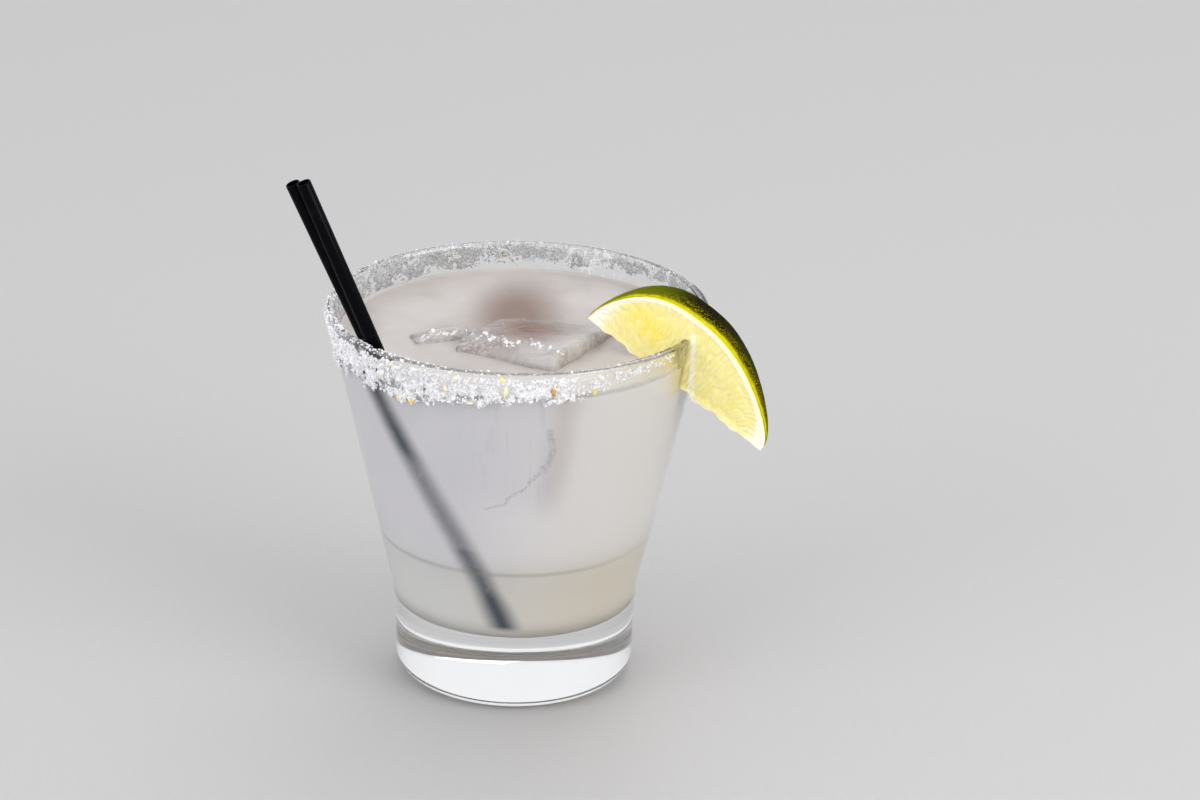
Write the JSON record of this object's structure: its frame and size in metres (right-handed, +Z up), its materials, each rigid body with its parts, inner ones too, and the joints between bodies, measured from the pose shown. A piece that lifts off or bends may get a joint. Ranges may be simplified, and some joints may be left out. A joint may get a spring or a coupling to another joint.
{
  "type": "margarita cocktail",
  "caption": "Cloudy margarita in a tapered rocks glass with ice, a salted rim, a lime wedge on the rim and thin black straws.",
  "frame": {"origin": "middle of the glass's flat underside", "axes": "+Z up along the glass's axis; -X towards the side the straws lean to; the lime wedge hangs over the rim at +X, -Y; the pictured front faces -Y"},
  "size_m": [0.1105, 0.0926, 0.1319],
  "materials": {
    "clear_glass": "clear, smooth, heavy base",
    "cloudy_drink": "cloudy white liquid with a wet surface",
    "ice": "clear, wet, cracked edges",
    "salt": "coarse white crystals with small yellow flecks",
    "lime": "moist pale flesh, white pith, dark green waxy rind",
    "black_plastic": "glossy thin tube"
  },
  "bodies": {
    "root": {"glass": "clear_glass", "drink": "cloudy_drink", "ice_large": "ice", "ice_chip": "ice", "salt_rim": "salt", "lime_wedge": "lime", "straw_left": "black_plastic", "straw_right": "black_plastic"}
  },
  "joints": []
}
